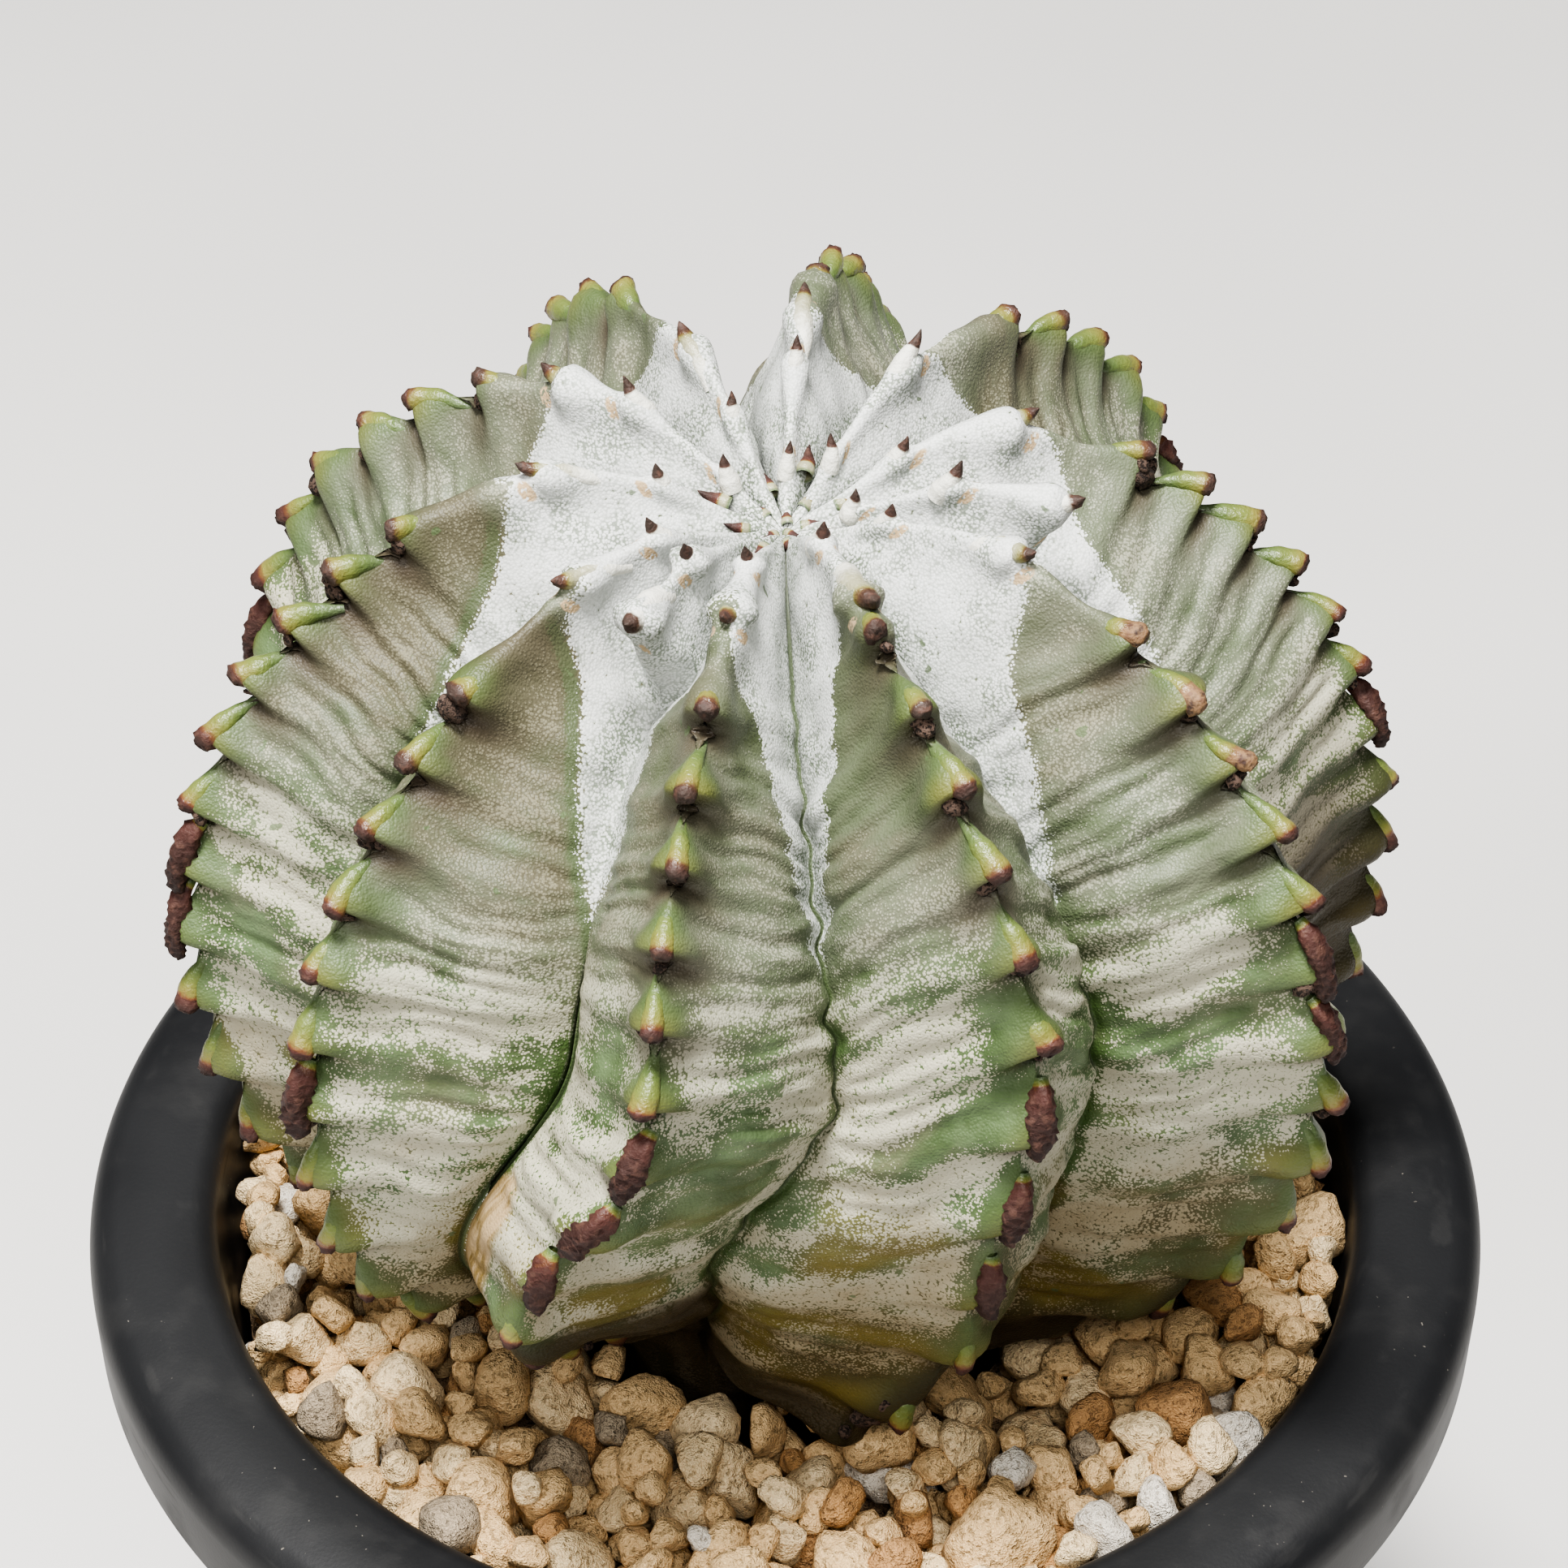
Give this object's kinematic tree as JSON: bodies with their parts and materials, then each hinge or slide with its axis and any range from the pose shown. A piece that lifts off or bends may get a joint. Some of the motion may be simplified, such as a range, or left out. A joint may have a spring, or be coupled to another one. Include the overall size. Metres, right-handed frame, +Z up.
{
  "type": "potted ribbed succulent",
  "caption": "Globular ribbed succulent with saw-toothed ridges, standing in tan grit in a round black pot with a wide domed rim.",
  "frame": {"origin": "centre of the pot's foot, on the surface it stands on", "axes": "+Z up through the plant; -Y is the front that the picture shows"},
  "size_m": [0.12, 0.12, 0.1842],
  "materials": {
    "pot": "matt black moulded plastic",
    "drainage_stones": "porous pumice, dry",
    "granule_bed": "porous tan grit, dry",
    "plant": "green plant skin under a chalky white bloom"
  },
  "bodies": {
    "root": {"pot": "pot", "drainage_stones": "drainage_stones", "granule_bed": "granule_bed", "plant": "plant"}
  },
  "joints": []
}
